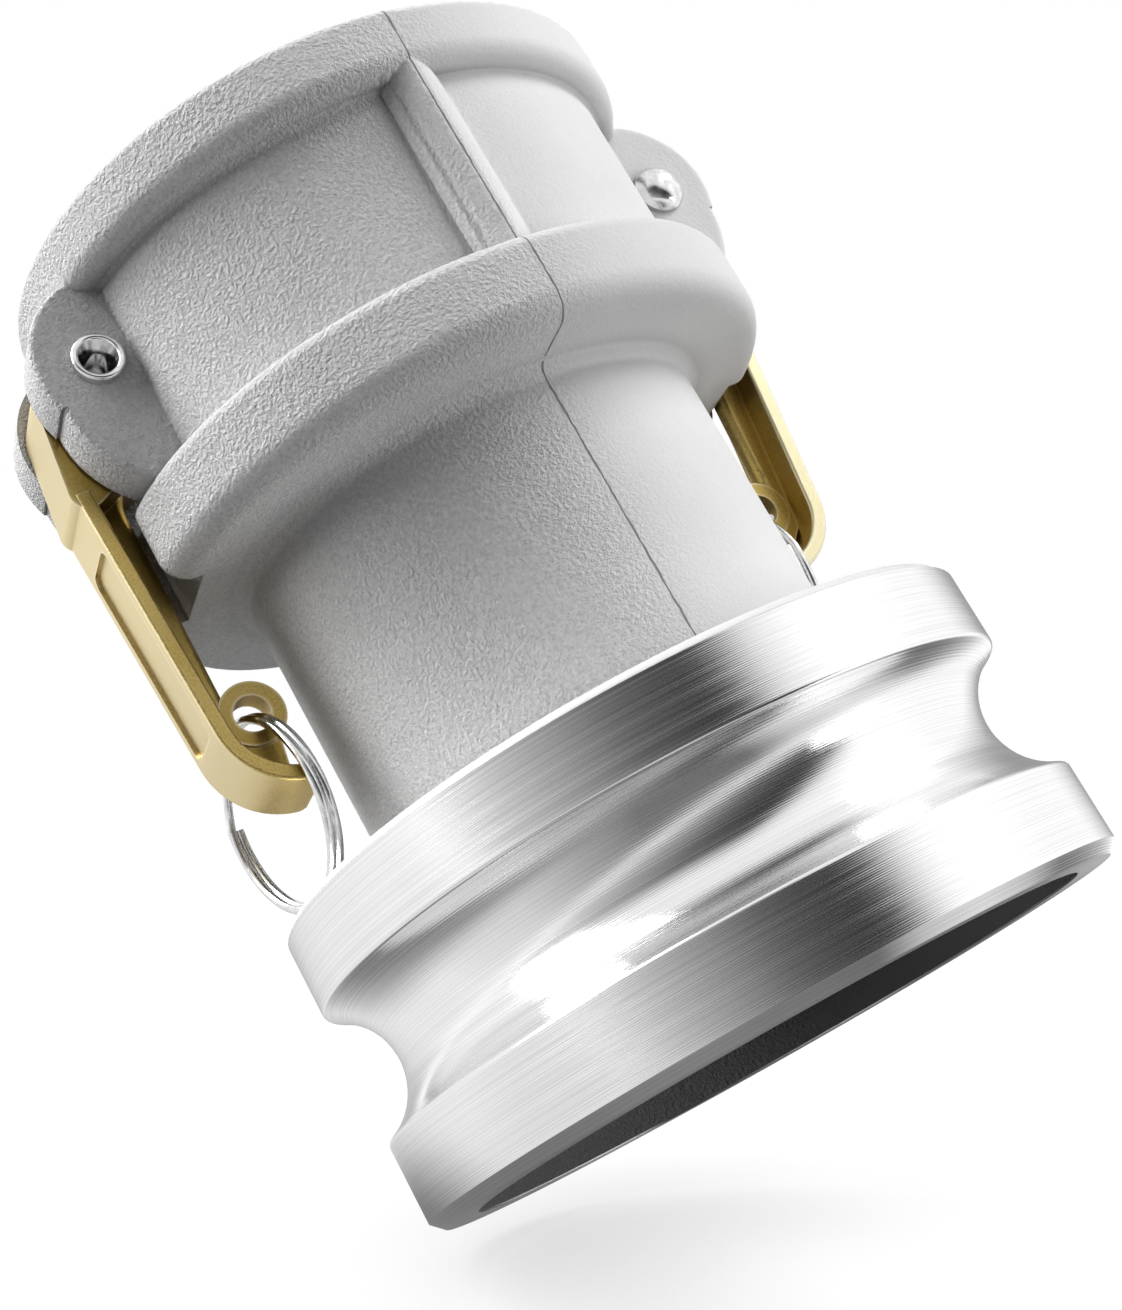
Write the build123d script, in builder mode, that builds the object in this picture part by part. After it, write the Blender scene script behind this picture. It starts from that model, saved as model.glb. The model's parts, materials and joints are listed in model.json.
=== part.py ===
from build123d import *
from math import cos, radians, sin, sqrt
import os

os.makedirs("parts", exist_ok=True)

# A lever coupler for 2 inch pipe that reduces from a grooved 3 inch adapter.
# Z runs up the waterway, from the adapter's end face at z = 0 to the coupler's mouth.
# The two levers are on the X sides, closed. Each one is the other turned 180 degrees about Z.
# All lengths are in millimetres.

# Fits and gaps
running_gap = 0.06
press_gap = 0.02
seat_gap = 0.15
side_gap = 0.3
rest_gap = 0.35

# Adapter end, machined
adapter_radius = 45.7
adapter_wall = 5.7
adapter_bore_depth = 14.0
lip_height = 11.3
lip_chamfer = 1.4
groove_width = 16.7
groove_depth = 5.6
groove_edge = 0.6
flange_height = 10.1
flange_chamfer = 1.0

# Neck between the adapter and the coupler
neck_wall = 5.6
neck_flare = 0.2
neck_length = 39.8
neck_fillet = 1.8
taper_length = 27.0

# Coupler end, as cast
band_step = 4.9
band_height = 10.9
band_bottom_fillet = 3.2
band_top_fillet = 1.8
barrel_wall = 6.3
barrel_length = 24.9
barrel_fillet = 0.6
rim_step = 3.5
rim_height = 8.5
rim_bottom_fillet = 2.6
rim_top_fillet = 1.2
socket_radius = 31.8
socket_relief = 0.5
mouth_chamfer = 1.2
waterway_radius = 25.4

# Gasket and its seat
gasket_height = 6.35
gasket_inset = 0.2
gasket_overlap = 1.5
gasket_edge = 0.8
seat_floor = 3.1

# Ribs along the parting line: a crest, a hollow flank and a low ridge beside the barrel
rib_base_width = 7.8
rib_ridge_width = 6.4
rib_ridge_height = 0.9
rib_crest_width = 1.0
rib_setback = 0.4
rib_hollow = 0.25

# Pins: a domed head at one end, a hollow flared end at the other
pin_standoff = 8.4
pin_depth = 17.6
pin_radius = 2.4
pin_head_radius = 3.4
pin_head_height = 2.3
pin_head_edge = 0.6
pin_flare_radius = 3.15
pin_flare_height = 1.4
pin_hollow_radius = 1.5
pin_hollow_depth = 5.0

# Ears that carry the pins
ear_thickness = 7.0
ear_reach = 7.4
ear_rise = 11.7
ear_brow = 0.2
ear_waist_reach = 6.5
ear_waist_drop = 4.4
heel_top_reach = 6.1
heel_top_drop = 3.4
heel_middle_reach = 4.3
heel_middle_drop = 11.4
heel_toe_reach = -1.6
heel_toe_drop = 17.0
ear_edge = 0.6

# Levers, from the pin: a cam head, a curled strip, a web and a lug
lever_width = 11.6
head_width = 11.4
strip_thickness = 2.0
strip_edge = 0.4
hub_radius = 6.8
nose_radius = 3.6
nose_reach = 12.2
nose_drop = 2.0
shoulder_radius = 2.2
shoulder_reach = 7.5
shoulder_drop = 12.0
strip_reach = 6.9
knuckle_reach = 3.4
knuckle_below_lug = 2.3
tip_reach = -6.3
tip_below_knuckle = 8.8
tip_corner = 1.0
web_width = 2.8
web_edge = 1.1
web_head_reach = 0.8
web_lug_reach = -0.8
web_crook = 2.3
thumb_depth = 0.5
thumb_margin = 1.5
thumb_start = 7.0
thumb_length = 26.0
thumb_corner = 1.5
lug_width = 3.4
lug_radius = 4.1
lug_hole_radius = 2.3
lug_reach = -3.0

# The right lever lies in against the neck, and the left one hangs out a little. In degrees
swing_right = -2.2
swing_left = 2.8

# Split rings of two coils. The left one stands on the flange: it leans back and is turned a little
ring_outer_radius = 12.2
wire_diameter = 1.1
coil_pitch = 1.0
ring_left_lean = -4.5
ring_left_turn = 11.0
ring_left_tilt = 0.0

# The right one leans back too, and its foot is tilted in against the neck
ring_right_lean = 4.5
ring_right_turn = -12.0
ring_right_tilt = 6.0

# The wire's step from one coil to the other
jog_angle = 34.0
jog_end = 165.0
jog_steps = 4

# Radii worked out from the sizes above
adapter_bore_radius = adapter_radius - adapter_wall
neck_radius = waterway_radius + neck_wall
neck_root_radius = neck_radius + neck_flare
barrel_radius = socket_radius + barrel_wall
band_radius = barrel_radius + band_step
rim_radius = barrel_radius + rim_step
rib_radius = rim_radius - rib_setback
relieved_radius = socket_radius + socket_relief
gasket_inner_radius = waterway_radius + gasket_inset
gasket_outer_radius = socket_radius + gasket_overlap
pin_offset = socket_radius + pin_standoff

# Heights
flange_bottom = lip_height + groove_width
flange_top = flange_bottom + flange_height
band_bottom = flange_top + neck_length
band_top = band_bottom + band_height
rim_bottom = band_top + barrel_length
mouth_top = rim_bottom + rim_height
gasket_bottom = band_bottom + seat_floor
seat_radius = gasket_outer_radius + seat_gap
seat_top = gasket_bottom + gasket_height + seat_gap
pin_height = mouth_top - pin_depth

# Each ring hangs from its lug, and the left one, which is the lower, just clears the flange
ring_radius = ring_outer_radius - wire_diameter / 2
ring_left_hang = sqrt(ring_radius**2 - ring_left_lean**2)
ring_right_hang = sqrt(ring_radius**2 - ring_right_lean**2)
lug_left_height = flange_top + rest_gap + ring_outer_radius + ring_left_hang
lug_fall = pin_height - lug_left_height + lug_reach * sin(radians(swing_left))
lug_drop = lug_fall / cos(radians(swing_left))
knuckle_drop = lug_drop + knuckle_below_lug
tip_drop = knuckle_drop + tip_below_knuckle

# The lever slot goes through the barrel's wall, and its relief runs on down through the band
slot_width = lever_width + 2 * side_gap
slot_bottom = pin_height - nose_reach - 1.5
slot_top = pin_height + hub_radius + 1.3
relief_floor = barrel_radius + side_gap
ear_face = slot_width / 2 + ear_thickness
ear_top = pin_height + ear_rise
heel_bottom = pin_height - heel_toe_drop


def corner(x, y):
    """The corner of the sketch in work that is nearest to a point."""
    return vertices().sort_by_distance((x, y))[0]


# Casting: the adapter, neck and coupler are one piece
with BuildPart() as ears:
    with BuildSketch(Plane.XZ):
        with BuildLine():
            brow = (pin_offset + ear_reach, pin_height + ear_brow)
            crown = TangentArc(brow, (brow[0] - ear_rise + ear_brow, ear_top), tangent=(0, 1))
            waist_end = (pin_offset + ear_waist_reach, pin_height - ear_waist_drop)
            waist = TangentArc(brow, waist_end, tangent=(0, -1))
            Polyline(waist @ 1, (socket_radius, waist_end[1]), (socket_radius, ear_top), crown @ 1)
        make_face()
        mirror(about=Plane.YZ)
    extrude(amount=ear_face, both=True)
    fillet(edges().filter_by(GeomType.CIRCLE), ear_edge)

# The lower half of each ear is set back a little, and it ends on the band
with BuildPart() as heels:
    with BuildSketch(Plane.XZ):
        with BuildLine():
            heel = ThreePointArc(
                (pin_offset + heel_top_reach, pin_height - heel_top_drop),
                (pin_offset + heel_middle_reach, pin_height - heel_middle_drop),
                (pin_offset + heel_toe_reach, heel_bottom),
            )
            heel_back = (socket_radius, pin_height - heel_top_drop)
            Polyline(heel @ 1, (socket_radius, heel_bottom), heel_back, heel @ 0)
        make_face()
        mirror(about=Plane.YZ)
    extrude(amount=ear_face, both=True)
    fillet(edges().filter_by(GeomType.CIRCLE), ear_edge)

with BuildPart() as body_casting:
    with BuildSketch(Plane.XZ):
        with BuildLine():
            lip = Polyline((0, 0), (adapter_radius, 0), (adapter_radius, lip_height))
            groove = ThreePointArc(
                lip @ 1,
                (adapter_radius - groove_depth, lip_height + groove_width / 2),
                (adapter_radius, flange_bottom),
            )
            Polyline(
                groove @ 1,
                (adapter_radius, flange_top),
                (neck_radius, flange_top),
                (neck_root_radius, band_bottom),
                (band_radius, band_bottom),
                (band_radius, band_top),
                (barrel_radius, band_top),
                (barrel_radius, rim_bottom),
                (rim_radius, rim_bottom),
                (rim_radius, mouth_top),
                (0, mouth_top),
                (0, 0),
            )
        make_face()
        chamfer(corner(adapter_radius, 0), lip_chamfer)
        chamfer(corner(adapter_radius, flange_top), flange_chamfer)
        fillet([corner(adapter_radius, lip_height), corner(adapter_radius, flange_bottom)], groove_edge)
        fillet([corner(neck_radius, flange_top), corner(neck_root_radius, band_bottom)], neck_fillet)
        fillet(corner(band_radius, band_bottom), band_bottom_fillet)
        fillet([corner(band_radius, band_top), corner(barrel_radius, band_top)], band_top_fillet)
        fillet(corner(barrel_radius, rim_bottom), barrel_fillet)
        fillet(corner(rim_radius, rim_bottom), rim_bottom_fillet)
        fillet(corner(rim_radius, mouth_top), rim_top_fillet)
    revolve(axis=Axis.Z)
    add(ears.part)
    add(heels.part)

    # Ribs between the band and the rim, with their crests on the parting line
    with BuildSketch(Plane.XY.offset(band_top - band_top_fillet)):
        with BuildLine():
            foot = Polyline(
                (0, socket_radius + 3),
                (rib_base_width / 2, socket_radius + 3),
                (rib_base_width / 2, barrel_radius),
                (rib_ridge_width / 2, barrel_radius + rib_ridge_height),
            )
            flank = SagittaArc(foot @ 1, (rib_crest_width / 2, rib_radius), -rib_hollow)
            Line(flank @ 1, (0, rib_radius))
            Line((0, rib_radius), foot @ 0)
        make_face()
        mirror(about=Plane.YZ)
        mirror(about=Plane.XZ)
    extrude(amount=rim_bottom + rim_bottom_fillet - band_top + band_top_fillet)

    # Waterway, gasket seat and socket, which is relieved below its land at the mouth
    with BuildSketch(Plane.XZ):
        with BuildLine():
            Polyline(
                (0, -1),
                (adapter_bore_radius, -1),
                (adapter_bore_radius, adapter_bore_depth),
                (waterway_radius, adapter_bore_depth + taper_length),
                (waterway_radius, gasket_bottom),
                (seat_radius, gasket_bottom),
                (seat_radius, seat_top),
                (relieved_radius, seat_top),
                (relieved_radius, slot_top),
                (socket_radius, slot_top),
                (socket_radius, mouth_top - mouth_chamfer),
                (socket_radius + mouth_chamfer, mouth_top),
                (0, mouth_top),
                close=True,
            )
        make_face()
    revolve(axis=Axis.Z, mode=Mode.SUBTRACT)

    # Lever slots between the ears
    with BuildSketch(Plane.XZ):
        with BuildLine():
            Polyline(
                (waterway_radius, slot_bottom),
                (relief_floor, slot_bottom),
                (relief_floor, band_bottom - 1),
                (adapter_radius + ear_reach, band_bottom - 1),
                (adapter_radius + ear_reach, ear_top + 1),
                (rim_radius, ear_top + 1),
                (rim_radius, rim_bottom),
                (relief_floor, rim_bottom),
                (relief_floor, slot_top),
                (waterway_radius, slot_top),
                close=True,
            )
        make_face()
        mirror(about=Plane.YZ)
    extrude(amount=slot_width / 2, both=True, mode=Mode.SUBTRACT)

    # Pin holes through the ears
    with BuildSketch(Plane.XZ):
        with Locations((pin_offset, pin_height), (-pin_offset, pin_height)):
            Circle(pin_radius + press_gap)
    extrude(amount=ear_face + 1, both=True, mode=Mode.SUBTRACT)

# Gasket
with BuildPart() as gasket:
    with BuildSketch(Plane.XZ):
        with Locations((gasket_inner_radius, gasket_bottom)):
            Rectangle(
                gasket_outer_radius - gasket_inner_radius,
                gasket_height,
                align=(Align.MIN, Align.MIN),
            )
        fillet(vertices(), gasket_edge)
    revolve(axis=Axis.Z)

# Lever, drawn closed about its pin on the right side: its curled strip first
with BuildPart() as strip:
    strip_start = Vector(strip_reach, -shoulder_drop)
    knuckle = Vector(knuckle_reach, -knuckle_drop)
    tip = Vector(tip_reach, -tip_drop)
    with BuildSketch(Plane.XZ):
        with BuildLine():
            back = Line(strip_start, knuckle)
            curl = TangentArc(knuckle, tip, tangent=back % 1)
            inward = (back % 1).rotate(Axis.Z, -90) * strip_thickness
            upward = (curl % 1).rotate(Axis.Z, -90) * strip_thickness
            front = Line(strip_start + inward, knuckle + inward)
            inner_curl = TangentArc(knuckle + inward, tip + upward, tangent=front % 1)
            Line(inner_curl @ 1, curl @ 1)
            Line(front @ 0, back @ 0)
        make_face()
    extrude(amount=lever_width / 2, both=True)
    tip_middle = tip + upward * 0.5
    near_corner = edges().sort_by_distance((tip_middle.X, -lever_width / 2, tip_middle.Y))[0]
    far_corner = edges().sort_by_distance((tip_middle.X, lever_width / 2, tip_middle.Y))[0]
    chamfer([near_corner, far_corner], tip_corner)
    fillet(edges().group_by(Axis.Y)[0] + edges().group_by(Axis.Y)[-1], strip_edge)

# The web behind the strip, rounded along its free edge
with BuildPart() as web:
    web_head = Vector(web_head_reach, -shoulder_drop)
    web_lug = Vector(web_lug_reach, -lug_drop)
    web_rise = (web_head - web_lug).normalized()
    crook_start = web_head - web_rise * web_crook
    with BuildSketch(Plane.XZ):
        with BuildLine():
            crook = TangentArc(crook_start, web_head + Vector(-web_crook, web_crook * 0.9), tangent=web_rise)
            Polyline(
                crook @ 1,
                (strip_reach - strip_thickness, -shoulder_drop + web_crook * 0.9),
                strip_start + inward * 0.5,
                knuckle + inward * 0.5,
                tip + upward * 0.5 + Vector(strip_thickness, 0),
                (lug_reach - lug_radius * 0.5, -lug_drop - lug_radius * 0.85),
                (lug_reach, -lug_drop),
                web_lug,
                crook @ 0,
            )
        make_face()
    extrude(amount=web_width / 2, both=True)
    web_middle = (web_head + web_lug) * 0.5
    near_edge = edges().sort_by_distance((web_middle.X, -web_width / 2, web_middle.Y))[0]
    far_edge = edges().sort_by_distance((web_middle.X, web_width / 2, web_middle.Y))[0]
    fillet([near_edge, far_edge], web_edge)

# The cam head, with the strip, web and lug
with BuildPart() as cam_arm:
    with BuildSketch(Plane.XZ):
        Circle(hub_radius)
        with Locations((nose_radius - nose_reach, -nose_drop)):
            Circle(nose_radius)
        with Locations((shoulder_reach - shoulder_radius, -shoulder_drop)):
            Circle(shoulder_radius)
        make_hull()
    extrude(amount=head_width / 2, both=True)
    add(strip.part)
    add(web.part)

    with BuildSketch(Plane.XZ):
        with Locations((lug_reach, -lug_drop)):
            Circle(lug_radius)
    extrude(amount=lug_width / 2, both=True)

    # Shallow thumb recess in the strip's outer face
    outward = inward * (-1 / strip_thickness)
    thumb_middle = strip_start + (back % 1) * (thumb_start + thumb_length / 2)
    thumb_plane = Plane(
        origin=(thumb_middle.X, 0, thumb_middle.Y),
        x_dir=(0, 1, 0),
        z_dir=(outward.X, 0, outward.Y),
    )
    with BuildSketch(thumb_plane):
        RectangleRounded(lever_width - 2 * thumb_margin, thumb_length, thumb_corner)
    extrude(amount=-thumb_depth, mode=Mode.SUBTRACT)

    # Pin bore and ring hole
    with BuildSketch(Plane.XZ):
        Circle(pin_radius + running_gap)
        with Locations((lug_reach, -lug_drop)):
            Circle(lug_hole_radius)
    extrude(amount=lever_width, both=True, mode=Mode.SUBTRACT)

# Pin, drawn about its own axis: its head is at the front, its hollow end at the back
with BuildPart() as pin:
    with BuildSketch(Plane.XY):
        with BuildLine():
            dome = ThreePointArc(
                (0, -ear_face - pin_head_height),
                (pin_head_radius * 0.62, -ear_face - pin_head_height * 0.8),
                (pin_head_radius, -ear_face - pin_head_edge),
            )
            shank = Polyline(
                dome @ 1,
                (pin_head_radius, -ear_face),
                (pin_radius, -ear_face),
                (pin_radius, ear_face),
                (pin_flare_radius, ear_face),
                (pin_flare_radius, ear_face + pin_flare_height * 0.5),
            )
            roll = ThreePointArc(
                shank @ 1,
                (pin_flare_radius - 0.3, ear_face + pin_flare_height * 0.95),
                (pin_flare_radius - 0.8, ear_face + pin_flare_height * 0.8),
            )
            Polyline(
                roll @ 1,
                (pin_hollow_radius, ear_face - pin_flare_height * 0.5),
                (pin_hollow_radius, ear_face - pin_hollow_depth),
                (0, ear_face - pin_hollow_depth - pin_hollow_radius * 0.6),
                dome @ 0,
            )
        make_face()
    revolve(axis=Axis.Y)



def wire_plane(angle):
    """The plane across the wire at an angle round the ring, with X along the ring's axis."""
    return Plane(origin=(0, 0, 0), x_dir=(1, 0, 0), z_dir=(0, -sin(radians(angle)), cos(radians(angle))))


# Split ring, drawn about its own axis: two coils of wire, and the jog from one to the other
with BuildPart() as split_ring:
    with BuildSketch(wire_plane(jog_end)):
        with Locations((-coil_pitch / 2, ring_radius), (coil_pitch / 2, ring_radius)):
            Circle(wire_diameter / 2)
    revolve(axis=Axis.X, revolution_arc=360 - jog_angle)
    for step in range(jog_steps + 1):
        share = step / jog_steps
        with BuildSketch(wire_plane(jog_end - jog_angle * (1 - share))):
            with Locations(((share - 0.5) * coil_pitch, ring_radius)):
                Circle(wire_diameter / 2)
    loft()


def lug_hole(swing):
    """The middle of the ring's hole in a lever of the right side, swung outward by an angle."""
    turned = Vector(lug_reach, 0, -lug_drop).rotate(Axis.Y, -swing)
    return Vector(pin_offset, 0, pin_height) + turned


def ring_place(swing, lean, turn, tilt, hang):
    """Where a ring hangs from a lever of the right side: leaning, turned and with its foot tilted in."""
    turned = Location(lug_hole(swing)) * Rotation(0, tilt, 0) * Rotation(0, 0, turn)
    return turned * Location((0, lean, -hang))


# Each lever, pin and ring in its place. The left ones are turned half a turn about the waterway
with BuildPart() as cam_arm_right:
    with Locations((pin_offset, 0, pin_height)):
        add(cam_arm.part, rotation=(0, -swing_right, 0))

with BuildPart() as cam_arm_left:
    with Locations((-pin_offset, 0, pin_height)):
        add(cam_arm.part, rotation=(0, swing_left, 180))

with BuildPart() as pin_right:
    with Locations((pin_offset, 0, pin_height)):
        add(pin.part)

with BuildPart() as pin_left:
    with Locations((-pin_offset, 0, pin_height)):
        add(pin.part, rotation=(0, 0, 180))

place_right = ring_place(swing_right, ring_right_lean, ring_right_turn, ring_right_tilt, ring_right_hang)
with BuildPart() as split_ring_right:
    with Locations(place_right):
        add(split_ring.part)

place_left = ring_place(swing_left, ring_left_lean, ring_left_turn, ring_left_tilt, ring_left_hang)
with BuildPart() as split_ring_left:
    with Locations(Rotation(0, 0, 180) * place_left):
        add(split_ring.part)

body_casting.part.label = "body_casting"
gasket.part.label = "gasket"
cam_arm_right.part.label = "cam_arm_right"
cam_arm_left.part.label = "cam_arm_left"
pin_right.part.label = "pin_right"
pin_left.part.label = "pin_left"
split_ring_right.part.label = "split_ring_right"
split_ring_left.part.label = "split_ring_left"

export_step(body_casting.part, "parts/body_casting.step")
export_step(gasket.part, "parts/gasket.step")
export_step(cam_arm_right.part, "parts/cam_arm_right.step")
export_step(cam_arm_left.part, "parts/cam_arm_left.step")
export_step(pin_right.part, "parts/pin_right.step")
export_step(pin_left.part, "parts/pin_left.step")
export_step(split_ring_right.part, "parts/split_ring_right.step")
export_step(split_ring_left.part, "parts/split_ring_left.step")
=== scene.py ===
import json
import math

import bpy
from mathutils import Matrix, Vector

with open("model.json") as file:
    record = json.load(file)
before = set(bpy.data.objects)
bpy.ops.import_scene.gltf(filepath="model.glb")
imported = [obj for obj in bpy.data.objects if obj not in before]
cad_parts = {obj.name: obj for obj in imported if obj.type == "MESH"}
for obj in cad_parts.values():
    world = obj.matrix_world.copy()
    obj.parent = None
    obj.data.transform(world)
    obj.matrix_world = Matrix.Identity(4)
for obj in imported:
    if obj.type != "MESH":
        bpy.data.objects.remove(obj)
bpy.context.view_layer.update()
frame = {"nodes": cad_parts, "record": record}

# All lengths are in metres. HAIR is the small margin at a border between two finishes
HAIR = 0.0001

# A noise's values lie nearly all between these
NOISE_SPAN = (0.3, 0.7)

# Heights and radii of the casting, where one finish gives way to another
FLANGE_TOP = 0.0381
FLANGE_CHAMFER = 0.00105
LIP_RADIUS = 0.0457
BAND_BOTTOM = 0.0779
BAND_TOP = 0.0888
RIM_BOTTOM = 0.1137
BARREL_RADIUS = 0.0381
SOCKET_WALL = 0.0335
NECK_SKIN = 0.0302
BORE_DEPTH = 0.014
BORE_RADIUS = 0.0402
TAPER_RADIUS = 0.0392
BORE_STEP = 0.001

# Cast skin: its clouds' greys, the crests and pits of its orange peel with how strongly they show,
# the painted shade in its corners with how far it reaches, and the painted shade in the bore. The peel is
# deep all round but is faded as painted glare on the brightly lit right side, which begins and ends over
# these angles from -Y towards +X in radians
SKIN_GREYS = (0.73, 0.77)
CREST_GREY = 0.88
PIT_GREY = 0.60
PEEL_CONTRAST = 0.6
CORNER_SHADE_GREY = 0.28
CORNER_SHADE_REACH = 0.010
BORE_SHADE_GREY = 0.16
GLARE_PEEL_DEPTH = 0.12
GLARE_FROM = (-0.3, 0.2)
GLARE_TO = (2.0, 3.0)
CAST_ROUGHNESS = (0.5, 0.66)
CAST_RELIEF = 0.0005
CAST_EDGE = 0.0008

# Ribs: distance from the parting line and half width of the bead along each foot, and of the
# hollows on both sides of it with how deep each one is against the other, and the grey of the painted shade
# in the hollows
RIB_BEAD = (0.00315, 0.0004)
RIB_HOLLOWS = ((0.0026, 0.00045, 1.0), (0.0041, 0.0006, 1.4))
RIB_SHADE_GREY = 0.16

# Parting line: its least and greatest half width, how far it wanders, and its grey
CRACK_WIDTHS = (0.00003, 0.0001)
CRACK_WANDER = 0.00035
CRACK_GREY = 0.12

# Adapter end: the pitch of the turning lines, how far they tilt the surface where least and most,
# and the looks of the turned metal and of its satin upper chamfer
TOOL_FEED = 0.000232
TOOL_TILT = (0.02, 0.06)
TURNED_GREYS = (0.80, 0.92)
TURNED_ROUGHNESS = (0.13, 0.19)
TURNED_ANISOTROPY = 0.75
CHAMFER_GREY = 0.74
CHAMFER_ROUGHNESS = 0.5
CHAMFER_BEVEL = 0.0012

# Levers: where the strip's side faces begin, and the ejector's mark on the right one's web
# by its x and z and by the radii between which it runs out
STRIP_SIDE = 0.0055
MARK_PLACE = (0.0382, 0.06605)
MARK_RADII = (0.0006, 0.0011)

# Brass: its two speckles, its clouds, the painted light on its outward faces, the painted shade in its
# hollows, the painted cream highlight of side and edge, how far its painted shade in corners reaches, and how
# wide its edges are
BRASS_DEEP = (0.45, 0.32, 0.09, 1)
BRASS_PALE = (0.63, 0.47, 0.16, 1)
BRASS_CLOUD = (0.68, 0.53, 0.23, 1)
BRASS_OUTWARD_LIGHT = (0.80, 0.70, 0.44, 1)
BRASS_HOLLOW_SHADE = (0.34, 0.22, 0.04, 1)
BRASS_SIDE_HIGHLIGHT = (0.63, 0.59, 0.41, 1)
BRASS_EDGE_HIGHLIGHT = (0.93, 0.86, 0.62, 1)
BRASS_ROUGHNESS = (0.3, 0.44)
BRASS_SHADE_REACH = 0.006
BRASS_EDGE_RADIUS = 0.0006

# Steel and rubber
STEEL_GREYS = (0.66, 0.82)
STEEL_ROUGHNESS = (0.1, 0.22)
RUBBER_GREYS = (0.018, 0.045)
RUBBER_ROUGHNESS = (0.48, 0.66)

# The camera, as fitted to the photograph: its place, the directions of the image's down and
# forward, its focal length and centre in pixels of the photograph, and its sensor in millimetres
CAMERA_DOWN = (-0.34207, 0.41332, -0.84389)
CAMERA_FORWARD = (0.43739, 0.86488, 0.24630)
CAMERA_PLACE = (-0.116586, -0.228115, -0.011049)
IMAGE_HEIGHT = 1310
FOCAL_PIXELS = 2133.3
CENTRE_OFFSET = (-8.7, 6.4)
SENSOR = 36.0
CLIP_START = 0.01
CLIP_END = 30

# Floor: square to the photograph's upright, just under the lowest point of the adapter's lip
FLOOR_GAP = 0.002
FLOOR_HALF = 6.0
FLOOR_BOUNCE = 0.05

# The object's shadow on the floor: it fades out between two distances from the middle. Its softness
# is the reach of the occlusion, which leans to one side by SHADOW_LEAN. Its levels go with how
# much of the sky is open, and the floor's own greys are for far from the object and near it
SHADOW_REACH = 0.16
CLEAR_REACH = 0.5
SHADOW_SPREAD = 0.045
SHADOW_LEAN = 1.0
SHADOW_SKY = (0.3, 0.95)
SHADOW_LEVELS = (0.6, 0.99)
FLOOR_GREYS = (0.08, 0.06)

# How bright metal sees the floor under the object, and from which distance to which that gives way
# to a level by angle, in degrees from -Y towards +X
UNDER_LEVEL = 0.12
UNDER_REACH = (0.055, 0.085)
FLOOR_SHADES = (
    (-180, 0.35), (-165, 0.5), (-150, 0.7), (-130, 0.85), (-100, 0.85), (-85, 0.7),
    (-70, 0.6), (-50, 0.3), (-30, 0.08), (15, 0.06), (35, 0.5), (60, 0.7),
    (80, 0.5), (95, 0.06), (165, 0.06), (180, 0.35),
)

# Wall right round the stage, which only reflections see: how bright it is by angle. The pattern
# slants round the wall by WALL_SLANT radians per metre above WALL_LEVEL, and the wall is white on top
WALL_RADIUS = 0.9
WALL_BOTTOM = -0.6
WALL_TOP = 0.75
WALL_FADE = 0.3
WALL_STEPS = 96
WALL_SLANT = 1.0
WALL_LEVEL = 0.25
WALL_SHADES = (
    (-180, 0.38), (-169, 0.40), (-157, 0.58), (-145, 0.68), (-121, 0.80), (-97, 0.88),
    (-85, 0.74), (-73, 0.62), (-61, 0.55), (-49, 0.39), (-37, 0.26), (-25, 0.12),
    (-13, 0.07), (0, 0.03), (9, 0.05), (14, 0.6), (22, 1.0), (35, 1.1),
    (95, 1.1), (107, 0.78), (119, 0.42), (131, 0.33), (180, 0.38),
)

# Lamps: angle from -Y towards +X and elevation in degrees, and watts. All stand round one middle
LAMPS = (
    ("key_right", 60, 25, 7.4),
    ("key_low", 50, -20, 3.4),
    ("top_left", -90, 65, 10.6),
    ("side_left", -85, 35, 4.2),
)
LAMP_MIDDLE = (0, 0, 0.06)
LAMP_DISTANCE = 1.0
LAMP_SIZE = 0.5
WORLD_LIGHT = 0.1

up = -Vector(CAMERA_DOWN).normalized()
side = Vector(CAMERA_FORWARD).cross(up).normalized()
ahead = up.cross(side)


def place_object(name, data):
    obj = bpy.data.objects.new(name, data)
    bpy.context.scene.collection.objects.link(obj)
    return obj


def aim(obj, forward, upright):
    """Turns a camera or lamp so that it looks along forward, with upright as near as it can be."""
    forward = Vector(forward).normalized()
    right = forward.cross(Vector(upright)).normalized()
    turn = Matrix((right, right.cross(forward), -forward)).transposed().to_4x4()
    obj.matrix_world = Matrix.Translation(obj.location) @ turn


lens = bpy.data.cameras.new("photo_camera")
lens.sensor_width = SENSOR
lens.lens = FOCAL_PIXELS * SENSOR / IMAGE_HEIGHT
lens.shift_x = -CENTRE_OFFSET[0] / IMAGE_HEIGHT
lens.shift_y = CENTRE_OFFSET[1] / IMAGE_HEIGHT
lens.clip_start = CLIP_START
lens.clip_end = CLIP_END
camera = place_object("photo_camera", lens)
camera.location = CAMERA_PLACE
aim(camera, CAMERA_FORWARD, [-value for value in CAMERA_DOWN])
bpy.context.scene.camera = camera
bpy.context.scene.view_settings.view_transform = "Standard"


def grey(level):
    return (level, level, level, 1.0)


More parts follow.
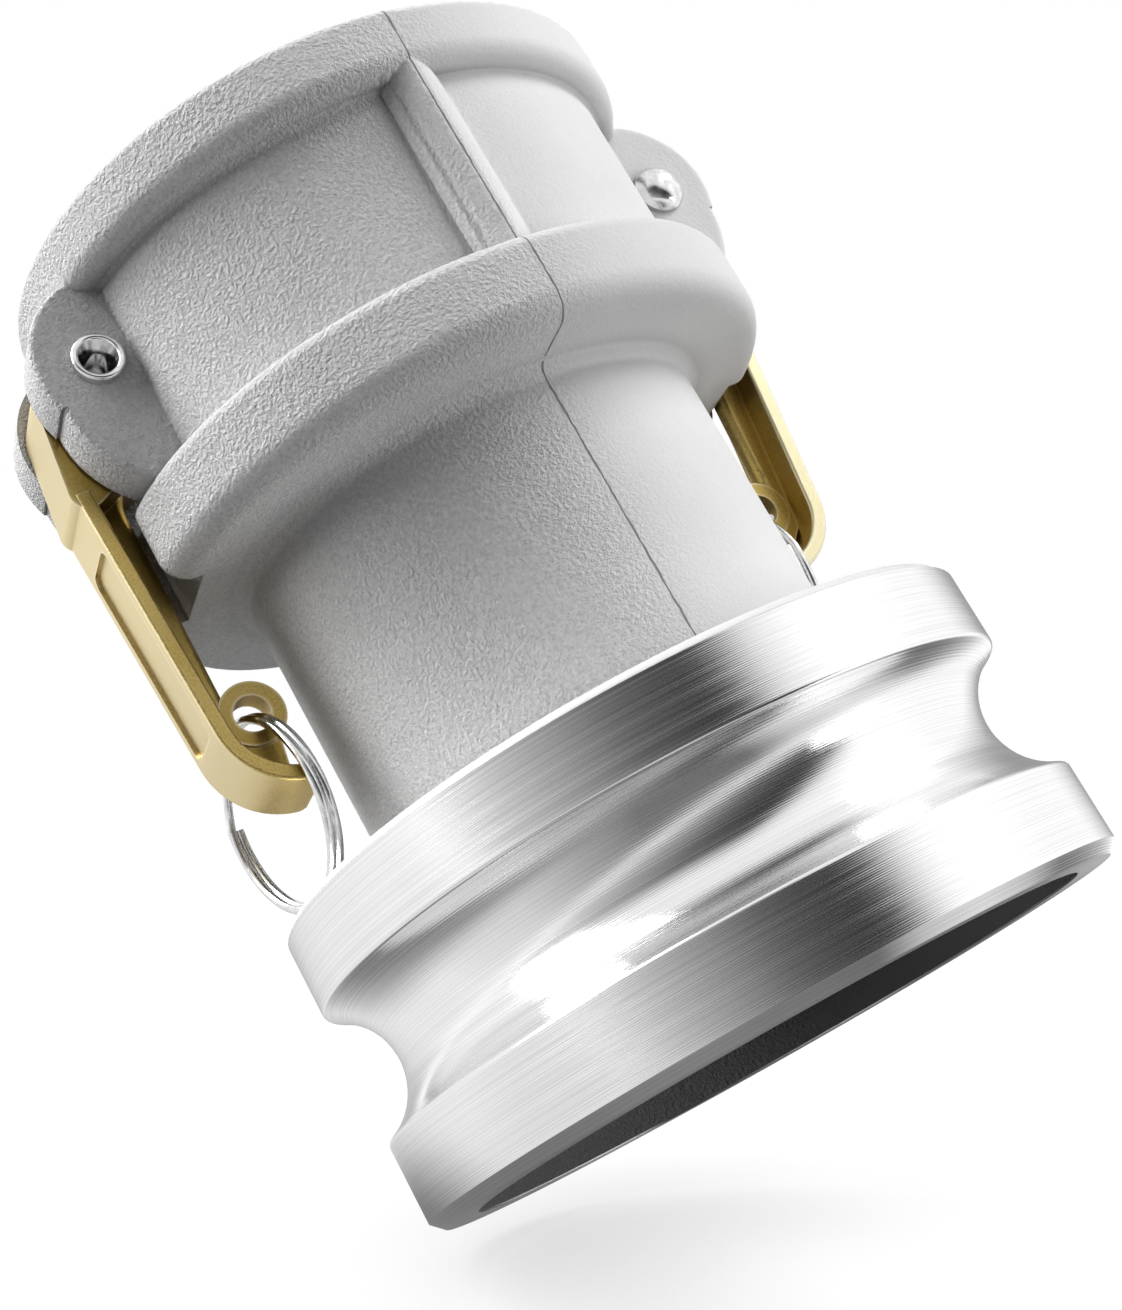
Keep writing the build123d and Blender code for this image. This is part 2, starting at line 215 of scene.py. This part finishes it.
class Nodes:
    """A short way to build a node tree: most calls add a node and return its output socket."""

    def __init__(self, tree):
        self.tree = tree
        tree.nodes.clear()

    def add(self, kind, **settings):
        node = self.tree.nodes.new(kind)
        for name, value in settings.items():
            setattr(node, name, value)
        return node

    def put(self, socket, value):
        """Links an output socket to an input, or sets the input to a plain value."""
        if isinstance(value, bpy.types.NodeSocket):
            self.tree.links.new(value, socket)
        else:
            socket.default_value = value

    def math(self, operation, *values, clamp=False):
        node = self.add("ShaderNodeMath", operation=operation, use_clamp=clamp)
        for socket, value in zip(node.inputs, values):
            self.put(socket, value)
        return node.outputs[0]

    def product(self, *values):
        result = values[0]
        for value in values[1:]:
            result = self.math("MULTIPLY", result, value)
        return result

    def less(self, value, limit):
        return self.math("LESS_THAN", value, limit)

    def more(self, value, limit):
        return self.math("GREATER_THAN", value, limit)

    def between(self, value, low, high):
        return self.product(self.more(value, low), self.less(value, high))

    def span(self, value, low, high, start=0.0, end=1.0, smooth=True):
        """Maps value from low..high to start..end, and holds it at the ends."""
        node = self.add("ShaderNodeMapRange", interpolation_type="SMOOTHSTEP" if smooth else "LINEAR")
        for socket, number in zip(node.inputs, (value, low, high, start, end)):
            self.put(socket, number)
        return node.outputs[0]

    def fade(self, factor, first, second):
        """Mixes two plain values."""
        return self.span(factor, 0.0, 1.0, first, second, smooth=False)

    def peak(self, value, centre, half_width):
        """1 at the centre, and smoothly down to 0 at half_width from it."""
        off = self.math("ABSOLUTE", self.math("SUBTRACT", value, centre))
        return self.span(off, 0.0, half_width, 1.0, 0.0)

    def distance(self, first, second):
        """The length of the vector with these two parts."""
        squares = [self.math("MULTIPLY", part, part) for part in (first, second)]
        return self.math("SQRT", self.math("ADD", *squares))

    def round_axis(self, x, y):
        """The angle round the object's axis, in radians, from -Y towards +X."""
        return self.math("ARCTAN2", x, self.math("MULTIPLY", y, -1.0))

    def mix(self, factor, first, second):
        node = self.add("ShaderNodeMix", data_type="RGBA")
        self.put(node.inputs[0], factor)
        self.put(node.inputs[6], first)
        self.put(node.inputs[7], second)
        return node.outputs[2]

    def between_greys(self, factor, levels):
        return self.mix(factor, *map(grey, levels))

    def blend(self, factor, first, second):
        """Mixes two shaders."""
        node = self.add("ShaderNodeMixShader")
        for socket, value in zip(node.inputs, (factor, first, second)):
            self.put(socket, value)
        return node.outputs[0]

    def by_angle(self, angle, shades):
        """A level read off a table of (degrees, level), by an angle in radians."""
        ramp = self.add("ShaderNodeValToRGB")
        self.put(ramp.inputs[0], self.span(angle, -math.pi, math.pi, smooth=False))
        elements = ramp.color_ramp.elements
        for degrees, level in shades[1:-1]:
            elements.new((degrees + 180) / 360).color = grey(level)
        elements[0].color = grey(shades[0][1])
        elements[-1].color = grey(shades[-1][1])
        return ramp.outputs[0]

    def noise(self, vector, scale, detail, roughness):
        node = self.add("ShaderNodeTexNoise")
        self.put(node.inputs["Vector"], vector)
        self.put(node.inputs["Scale"], scale)
        self.put(node.inputs["Detail"], detail)
        self.put(node.inputs["Roughness"], roughness)
        return node.outputs["Fac"]

    def line_noise(self, value, scale, detail):
        """Noise that changes along one value only, for turning marks."""
        node = self.add("ShaderNodeTexNoise", noise_dimensions="1D")
        self.put(node.inputs["W"], value)
        self.put(node.inputs["Scale"], scale)
        self.put(node.inputs["Detail"], detail)
        return node.outputs["Fac"]

    def bump(self, height, distance, strength, normal=None):
        node = self.add("ShaderNodeBump")
        self.put(node.inputs["Height"], height)
        self.put(node.inputs["Distance"], distance)
        self.put(node.inputs["Strength"], strength)
        if normal is not None:
            self.put(node.inputs["Normal"], normal)
        return node.outputs["Normal"]

    def bevel(self, radius, samples=6):
        node = self.add("ShaderNodeBevel", samples=samples)
        self.put(node.inputs["Radius"], radius)
        return node.outputs[0]

    def edge(self, radius):
        """0 on a flat, and more on an edge: how far a bevelled normal leans away there."""
        normal = self.add("ShaderNodeNewGeometry").outputs["Normal"]
        dot = self.add("ShaderNodeVectorMath", operation="DOT_PRODUCT")
        self.put(dot.inputs[0], self.bevel(radius, 4))
        self.put(dot.inputs[1], normal)
        return self.math("SUBTRACT", 1.0, dot.outputs["Value"], clamp=True)

    def hollow(self, reach, low, high):
        """1 deep in a corner or recess and 0 in the open, by how much is shut out within reach."""
        node = self.add("ShaderNodeAmbientOcclusion", samples=4)
        self.put(node.inputs["Distance"], reach)
        return self.span(node.outputs["AO"], low, high, 1.0, 0.0)

    def own_place(self):
        """The point's own coordinates in the object."""
        return self.add("ShaderNodeTexCoord").outputs["Object"]

    def split(self, vector):
        """A vector's x, y and z."""
        node = self.add("ShaderNodeSeparateXYZ")
        self.put(node.inputs[0], vector)
        return node.outputs[0], node.outputs[1], node.outputs[2]

    def principled(self, **values):
        node = self.add("ShaderNodeBsdfPrincipled")
        for name, value in values.items():
            self.put(node.inputs[name.replace("_", " ")], value)
        return node.outputs[0]

    def finish(self, shader):
        out = self.add("ShaderNodeOutputMaterial")
        self.put(out.inputs["Surface"], shader)


def new_material(name):
    material = bpy.data.materials.new(name)
    material.use_nodes = True
    return material, Nodes(material.node_tree)


def cast_skin(n, x, y, z, radius, bore):
    """Blasted casting: rough on the left and back, with its peel faded as painted glare on the brightly lit
    right, and painted shade in the corners and bore.
    """
    vector = n.own_place()

    # A fine orange peel with faint clouding, and painted shade darkening the corners and hollows
    angle = n.round_axis(x, y)
    # Painted glare: the peel's crests, pits and relief fade out on the brightly lit right side
    before = n.span(angle, *GLARE_FROM, 1.0, GLARE_PEEL_DEPTH)
    peel_out_of_glare = n.math("MAXIMUM", before, n.span(angle, *GLARE_TO, GLARE_PEEL_DEPTH, 1.0))
    peel = n.noise(vector, scale=2100, detail=2.0, roughness=0.55)
    grain = n.noise(vector, scale=4800, detail=2.0, roughness=0.6)
    cloud = n.noise(vector, scale=45, detail=3.0, roughness=0.5)
    crests = n.product(n.span(peel, 0.5, 0.68), peel_out_of_glare, PEEL_CONTRAST)
    pits = n.product(n.span(peel, 0.32, 0.5, 1.0, 0.0), peel_out_of_glare, PEEL_CONTRAST)
    skin = n.between_greys(n.span(cloud, *NOISE_SPAN), SKIN_GREYS)
    skin = n.mix(crests, skin, grey(CREST_GREY))
    skin = n.mix(pits, skin, grey(PIT_GREY))
    # Painted shade in corners and recesses, by how much is shut out within reach
    skin = n.mix(n.hollow(CORNER_SHADE_REACH, 0.25, 0.75), skin, grey(CORNER_SHADE_GREY))
    height = n.math("ADD", n.product(peel, 0.7), n.product(grain, 0.3))
    height = n.product(height, peel_out_of_glare, 2.0)

    # Rib, on its left flank: a low bead along the foot, with a soft hollow on both sides of it that is
    # darkened with painted shade
    aside = n.math("ABSOLUTE", x)
    on_barrel = n.between(z, BAND_TOP - 5 * HAIR, RIM_BOTTOM + 5 * HAIR)
    flank = n.product(on_barrel, n.more(radius, BARREL_RADIUS - 2 * HAIR), n.less(x, 0.0))
    bead = n.product(n.peak(aside, *RIB_BEAD), flank)
    (near, near_width, near_depth), (far, far_width, far_depth) = RIB_HOLLOWS
    hollows = n.math(
        "ADD",
        n.product(n.peak(aside, near, near_width), near_depth),
        n.product(n.peak(aside, far, far_width), far_depth),
    )
    hollows = n.product(hollows, flank)
    skin = n.mix(n.math("MULTIPLY", hollows, 0.1, clamp=True), skin, grey(RIB_SHADE_GREY))
    height = n.math("ADD", height, n.product(bead, 0.35))
    height = n.math("SUBTRACT", height, n.product(hollows, 0.35))

    # Parting line: a thin crack down both sides, through the rim, rib, band and neck
    waver = n.noise(vector, scale=700, detail=3.0, roughness=0.6)
    thick = n.noise(vector, scale=300, detail=2.0, roughness=0.5)
    wander = n.product(n.math("SUBTRACT", waver, 0.5), CRACK_WANDER)
    offset = n.math("ABSOLUTE", n.math("ADD", x, wander))
    width = n.span(thick, 0.35, 0.65, *CRACK_WIDTHS)
    crack = n.span(offset, width, n.math("ADD", width, HAIR), 1.0, 0.0)
    wall = n.span(z, BAND_BOTTOM - 2 * HAIR, BAND_BOTTOM, NECK_SKIN, SOCKET_WALL, smooth=False)
    crack = n.product(crack, n.more(radius, wall), n.more(z, FLANGE_TOP + HAIR))
    skin = n.mix(n.product(crack, 0.72), skin, grey(CRACK_GREY))
    height = n.math("SUBTRACT", height, n.product(crack, 0.9))

    # Painted shade: inside the adapter end the metal is painted darker, for the shade in the bore
    bore_shade = n.product(n.less(z, FLANGE_TOP - BORE_STEP), n.less(radius, bore))
    skin = n.mix(bore_shade, skin, grey(BORE_SHADE_GREY))
    return n.principled(
        Base_Color=skin,
        Roughness=n.span(grain, *NOISE_SPAN, *CAST_ROUGHNESS),
        Specular_IOR_Level=0.25,
        Normal=n.bump(height, distance=CAST_RELIEF, strength=0.8, normal=n.bevel(CAST_EDGE)),
    )


def turned_metal(n, z, radius):
    """Fine lines round the axis, up the wall and across the flat ends, with a satin upper chamfer."""
    on_wall = n.between(z, HAIR, FLANGE_TOP - HAIR)
    across = n.product(radius, n.math("SUBTRACT", 1.0, on_wall))
    along = n.math("ADD", n.product(z, on_wall), across)
    coarse = n.line_noise(along, scale=900, detail=2.0)
    fine = n.line_noise(along, scale=6000, detail=1.0)
    lines = n.math("ADD", n.product(coarse, 0.3), n.product(fine, 0.7))

    # The tool's lines tilt the surface up and down, more in some places than in others
    feed = n.math("SINE", n.product(z, 2 * math.pi / TOOL_FEED))
    tilt = n.add("ShaderNodeCombineXYZ")
    n.put(tilt.inputs["Z"], n.product(feed, n.span(coarse, 0.35, 0.6, *TOOL_TILT), on_wall))
    tilted = n.add("ShaderNodeVectorMath", operation="ADD")
    n.put(tilted.inputs[0], n.bump(lines, distance=0.00001, strength=0.5))
    n.put(tilted.inputs[1], tilt.outputs[0])

    on_chamfer = n.product(
        n.more(z, FLANGE_TOP - FLANGE_CHAMFER),
        n.more(radius, LIP_RADIUS - FLANGE_CHAMFER),
    )
    normal = n.add("ShaderNodeMix", data_type="VECTOR")
    n.put(normal.inputs[0], on_chamfer)
    n.put(normal.inputs[4], tilted.outputs[0])
    n.put(normal.inputs[5], n.bevel(CHAMFER_BEVEL))
    facing = n.add("ShaderNodeVectorMath", operation="NORMALIZE")
    n.put(facing.inputs[0], normal.outputs[1])
    tangent = n.add("ShaderNodeTangent", direction_type="RADIAL", axis="Z").outputs[0]
    shine = n.between_greys(n.span(lines, 0.35, 0.65), TURNED_GREYS)
    roughness = n.span(lines, *NOISE_SPAN, *TURNED_ROUGHNESS)
    return n.principled(
        Base_Color=n.mix(on_chamfer, shine, grey(CHAMFER_GREY)),
        Metallic=n.math("SUBTRACT", 1.0, on_chamfer),
        Roughness=n.fade(on_chamfer, roughness, CHAMFER_ROUGHNESS),
        Anisotropic=n.fade(on_chamfer, TURNED_ANISOTROPY, 0.0),
        Anisotropic_Rotation=0.25,
        Tangent=tangent,
        Normal=facing.outputs[0],
    )


def cast_aluminium():
    """Blasted casting above the flange and in the bore, turned metal on the adapter end."""
    material, n = new_material("cast_aluminium")
    x, y, z = n.split(n.own_place())
    radius = n.distance(x, y)
    bore = n.span(z, BORE_DEPTH - BORE_STEP, BORE_DEPTH, BORE_RADIUS, TAPER_RADIUS, smooth=False)
    outer = n.math("MAXIMUM", n.more(radius, bore), n.less(z, 2 * HAIR))
    on_adapter = n.product(n.less(z, FLANGE_TOP + HAIR), outer)
    cast = cast_skin(n, x, y, z, radius, bore)
    n.finish(n.blend(on_adapter, cast, turned_metal(n, z, radius)))
    return material


def lever_brass():
    """Satin gold brass with a fine speckle, painted highlights on its edges, outward faces and the right
    strip's front side, and painted shade in the left lever's hollows.
    """
    material, n = new_material("lever_brass")
    vector = n.own_place()
    x, y, z = n.split(vector)
    speckle = n.noise(vector, scale=3600, detail=2.0, roughness=0.6)
    cloud = n.noise(vector, scale=120, detail=3.0, roughness=0.5)
    colour = n.mix(n.span(speckle, *NOISE_SPAN), BRASS_DEEP, BRASS_PALE)
    colour = n.mix(n.span(cloud, 0.35, 0.7, 0.0, 0.25), colour, BRASS_CLOUD)
    # Painted light: faces turned outward, away from the axis towards the side lamps, are lighter
    facing_x = n.split(n.add("ShaderNodeTexCoord").outputs["Normal"])[0]
    outward_light = n.product(facing_x, n.math("SIGN", x))
    colour = n.mix(n.span(outward_light, 0.4, 0.9, 0.0, 0.7), colour, BRASS_OUTWARD_LIGHT)

    # Painted shade darkens the hollows on the left lever, and a painted highlight makes the strip's front
    # side cream on the right one
    right = n.more(x, 0.0)
    shade = n.product(n.hollow(BRASS_SHADE_REACH, 0.4, 0.9), n.fade(right, 1.0, 0.15))
    colour = n.mix(shade, colour, BRASS_HOLLOW_SHADE)
    # Painted highlight: the right lever's strip front side is cream
    colour = n.mix(n.product(right, n.less(y, -STRIP_SIDE), 0.85), colour, BRASS_SIDE_HIGHLIGHT)
    # Painted highlight along the edges
    edge_highlight = n.product(n.span(n.edge(BRASS_EDGE_RADIUS), 0.01, 0.16), 0.75)
    colour = n.mix(edge_highlight, colour, BRASS_EDGE_HIGHLIGHT)

    # Ejector's mark: a small round dimple on the front of the right lever's web
    from_mark = n.distance(*(n.math("SUBTRACT", *pair) for pair in zip((x, z), MARK_PLACE)))
    mark = n.product(n.span(from_mark, *MARK_RADII, 1.0, 0.0), n.less(y, -10 * HAIR))
    height = n.math("SUBTRACT", speckle, n.product(mark, 3.0))
    n.finish(
        n.principled(
            Base_Color=colour,
            Metallic=1.0,
            Roughness=n.span(speckle, *NOISE_SPAN, *BRASS_ROUGHNESS),
            Normal=n.bump(height, distance=0.00008, strength=0.4),
        )
    )
    return material


def bright_steel():
    """Drawn and polished stainless steel with faint marks."""
    material, n = new_material("bright_steel")
    marks = n.noise(n.own_place(), scale=900, detail=4.0, roughness=0.6)
    n.finish(
        n.principled(
            Base_Color=n.between_greys(n.span(marks, *NOISE_SPAN), STEEL_GREYS),
            Metallic=1.0,
            Roughness=n.span(marks, *NOISE_SPAN, *STEEL_ROUGHNESS),
            Normal=n.bump(marks, distance=0.00002, strength=0.3),
        )
    )
    return material


def gasket_rubber():
    """Moulded black rubber, slightly dusty."""
    material, n = new_material("gasket_rubber")
    vector = n.own_place()
    dust = n.noise(vector, scale=260, detail=4.0, roughness=0.6)
    fine = n.noise(vector, scale=2500, detail=2.0, roughness=0.5)
    n.finish(
        n.principled(
            Base_Color=n.between_greys(n.span(dust, 0.4, 0.75), RUBBER_GREYS),
            Roughness=n.span(dust, *NOISE_SPAN, *RUBBER_ROUGHNESS),
            Normal=n.bump(fine, distance=0.00006, strength=0.3),
        )
    )
    return material


finishes = {
    "cast_aluminium": cast_aluminium(),
    "lever_brass": lever_brass(),
    "bright_steel": bright_steel(),
    "gasket_rubber": gasket_rubber(),
}
for subpart in frame["record"]["subparts"]:
    node = frame["nodes"][subpart["node"]]
    for material_slot in node.material_slots:
        material_slot.link = "OBJECT"
        material_slot.material = finishes[subpart["material_slot"]]


def stage_mesh(name, points, faces, material):
    """A piece of the studio, which isn't part of the object."""
    mesh = bpy.data.meshes.new(name)
    mesh.from_pydata([tuple(point) for point in points], [], faces)
    mesh.materials.append(material)
    obj = place_object(name, mesh)
    return obj


def floor_material():
    """White to the eye and dimmer in the object's shadow, dark near the object to metal, clear from below."""
    material, n = new_material("floor_white")
    path = n.add("ShaderNodeLightPath")
    eye = n.math("MAXIMUM", path.outputs["Is Camera Ray"], path.outputs["Is Transmission Ray"])
    metal = path.outputs["Is Glossy Ray"]
    position = n.add("ShaderNodeNewGeometry").outputs["Position"]
    length = n.add("ShaderNodeVectorMath", operation="LENGTH")
    n.put(length.inputs[0], position)
    reach = length.outputs["Value"]
    far = n.span(reach, SHADOW_REACH, CLEAR_REACH)

    # To the eye: white, with a soft shadow under the object
    sky = n.add("ShaderNodeAmbientOcclusion", samples=8)
    n.put(sky.inputs["Distance"], SHADOW_SPREAD)
    lean = n.add("ShaderNodeCombineXYZ")
    for socket, value in zip(lean.inputs, (up - side * SHADOW_LEAN).normalized()):
        n.put(socket, value)
    n.put(sky.inputs["Normal"], lean.outputs[0])
    shaded = n.span(sky.outputs["AO"], *SHADOW_SKY, *SHADOW_LEVELS, smooth=False)
    to_eye = n.product(n.fade(far, shaded, 1.0), eye)

    # To metal: by distance and angle. To everything else: a faint bounce
    x, y, z = n.split(position)
    by_side = n.by_angle(n.round_axis(x, y), FLOOR_SHADES)
    near = n.span(reach, *UNDER_REACH, UNDER_LEVEL, by_side)
    to_metal = n.product(n.fade(far, near, 1.0), metal)
    to_rest = n.product(n.math("SUBTRACT", 1.0, n.math("MAXIMUM", eye, metal)), FLOOR_BOUNCE)

    diffuse = n.add("ShaderNodeBsdfDiffuse")
    near_eye = n.product(eye, n.math("SUBTRACT", 1.0, far))
    n.put(diffuse.inputs["Color"], n.between_greys(near_eye, FLOOR_GREYS))
    glow = n.add("ShaderNodeEmission")
    n.put(glow.inputs["Strength"], n.math("ADD", n.math("ADD", to_eye, to_metal), to_rest))
    lit = n.add("ShaderNodeAddShader")
    n.put(lit.inputs[0], diffuse.outputs[0])
    n.put(lit.inputs[1], glow.outputs[0])
    clear = n.add("ShaderNodeBsdfTransparent").outputs[0]
    underside = n.add("ShaderNodeNewGeometry").outputs["Backfacing"]
    n.finish(n.blend(underside, lit.outputs[0], clear))
    return material


under_lip = Vector((-up.x, -up.y, 0)).normalized() * LIP_RADIUS - up * FLOOR_GAP
corners = [
    under_lip + side * FLOOR_HALF * across + ahead * FLOOR_HALF * along
    for across, along in ((-1, -1), (1, -1), (1, 1), (-1, 1))
]
floor = stage_mesh("floor", corners, [(0, 1, 2, 3)], floor_material())
if (corners[1] - corners[0]).cross(corners[3] - corners[0]).dot(up) < 0:
    floor.data.flip_normals()


def wall_material():
    """Bands of light and dark round the axis, turning to white at the top."""
    material, n = new_material("studio_wall")
    x, y, z = n.split(n.own_place())
    slant = n.product(n.math("SUBTRACT", z, WALL_LEVEL), WALL_SLANT)
    shade = n.by_angle(n.math("ADD", n.round_axis(x, y), slant), WALL_SHADES)
    glow = n.add("ShaderNodeEmission")
    n.put(glow.inputs["Color"], n.mix(n.span(z, WALL_FADE, WALL_TOP), shade, grey(1.0)))
    n.finish(glow.outputs[0])
    return material


wall_points = []
wall_faces = []
for step in range(WALL_STEPS + 1):
    turn = 2 * math.pi * step / WALL_STEPS
    for height in (WALL_BOTTOM, WALL_TOP):
        wall_points.append((WALL_RADIUS * math.sin(turn), -WALL_RADIUS * math.cos(turn), height))
    if step:
        wall_faces.append((2 * step - 2, 2 * step, 2 * step + 1, 2 * step - 1))
wall = stage_mesh("studio_wall", wall_points, wall_faces, wall_material())
wall.visible_camera = False
wall.visible_diffuse = False
wall.visible_shadow = False
wall.visible_transmission = False
wall.visible_volume_scatter = False

for name, turn, elevation, watts in LAMPS:
    turn, elevation = math.radians(turn), math.radians(elevation)
    level = Vector((math.sin(turn), -math.cos(turn), 0))
    direction = level * math.cos(elevation) + Vector((0, 0, math.sin(elevation)))
    data = bpy.data.lights.new(name, "AREA")
    data.shape = "SQUARE"
    data.size = LAMP_SIZE
    data.energy = watts
    lamp = place_object(name, data)
    lamp.location = Vector(LAMP_MIDDLE) + direction * LAMP_DISTANCE
    aim(lamp, -direction, (0, 0, 1))

# World: white to the eye and to metal, and a plain soft level as light
world = bpy.data.worlds.new("studio_white")
world.use_nodes = True
bpy.context.scene.world = world
w = Nodes(world.node_tree)
path = w.add("ShaderNodeLightPath")
seen = w.math("MAXIMUM", path.outputs["Is Camera Ray"], path.outputs["Is Glossy Ray"])
seen = w.math("MAXIMUM", seen, path.outputs["Is Transmission Ray"])
background = w.add("ShaderNodeBackground")
w.put(background.inputs["Color"], grey(1.0))
w.put(background.inputs["Strength"], w.fade(seen, WORLD_LIGHT, 1.0))
world_out = w.add("ShaderNodeOutputWorld")
w.put(world_out.inputs["Surface"], background.outputs[0])
